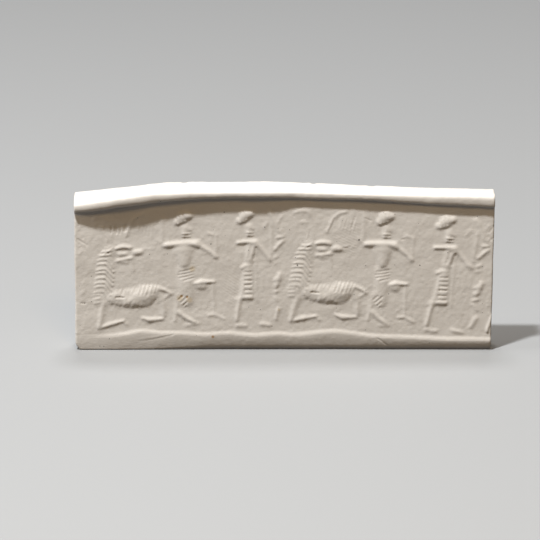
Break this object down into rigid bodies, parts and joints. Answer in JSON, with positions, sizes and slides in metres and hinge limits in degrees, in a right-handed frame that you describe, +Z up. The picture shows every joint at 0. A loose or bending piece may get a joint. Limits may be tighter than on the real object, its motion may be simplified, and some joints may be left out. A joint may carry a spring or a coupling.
{
  "type": "cylinder seal impression",
  "caption": "Flat strip of pale modelling clay standing on its long edge, its face rolled with a seal's frieze of beast, heroes and palm between a raised lip and a low kerb.",
  "frame": {"origin": "centre of the bounding box's bottom face, on the surface that the strip stands on", "axes": "+X along the strip, +Y from the printed face to the flat back, +Z up the figures"},
  "size_m": [0.08, 0.0083, 0.0318],
  "materials": {
    "pale_clay": "warm off-white modelling clay, matt with a faint sheen, a few pinholes and rust-brown specks"
  },
  "bodies": {
    "root": {"seal_impression": "pale_clay"}
  },
  "joints": []
}
